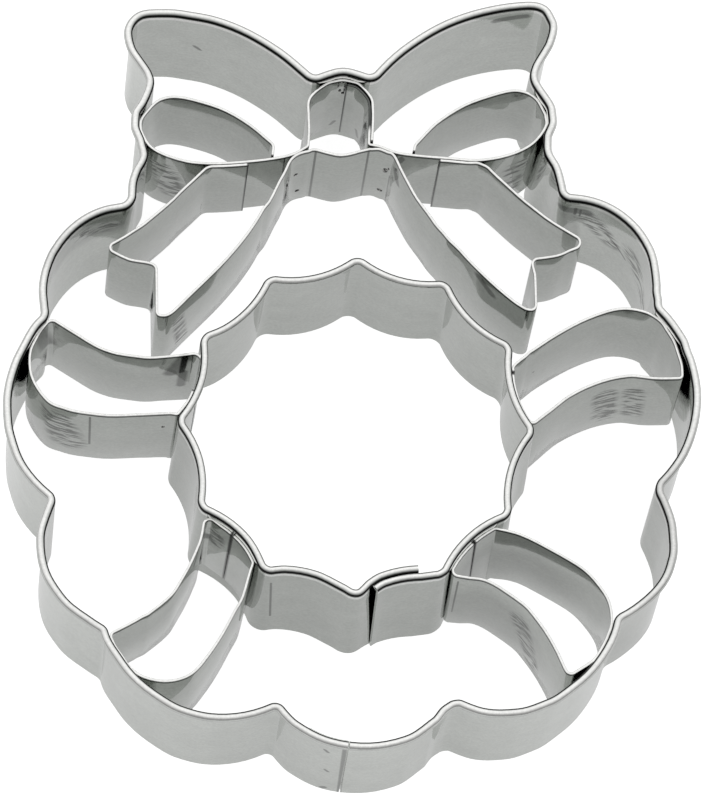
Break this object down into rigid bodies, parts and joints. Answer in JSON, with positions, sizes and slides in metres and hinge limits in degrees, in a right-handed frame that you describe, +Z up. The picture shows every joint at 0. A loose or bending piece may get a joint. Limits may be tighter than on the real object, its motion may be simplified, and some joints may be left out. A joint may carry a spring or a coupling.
{
  "type": "cookie cutter",
  "caption": "Wreath with a ribbon bow: a sheet steel dough cutter with a scalloped centre hole and low embossing strips between its rolled-edge rings.",
  "frame": {"origin": "bottom centre of the bounding box, on the surface that the cutting edges stand on", "axes": "+Z up from the cutting edges to the rolled rims, +Y from the foot of the wreath to the bow, +X to the right seen from above"},
  "size_m": [0.0802, 0.0894, 0.02],
  "materials": {
    "rolled_ring_steel": "bright satin, polished on the rolled rim",
    "embossing_strip_steel": "mill satin"
  },
  "bodies": {
    "root": {"outer_ring": "rolled_ring_steel", "inner_ring": "rolled_ring_steel", "left_upper_band": "embossing_strip_steel", "right_upper_band": "embossing_strip_steel", "left_lower_band": "embossing_strip_steel", "right_lower_band": "embossing_strip_steel", "left_bow_strip": "embossing_strip_steel", "right_bow_strip": "embossing_strip_steel", "bow_tail_strip": "embossing_strip_steel"}
  },
  "joints": []
}
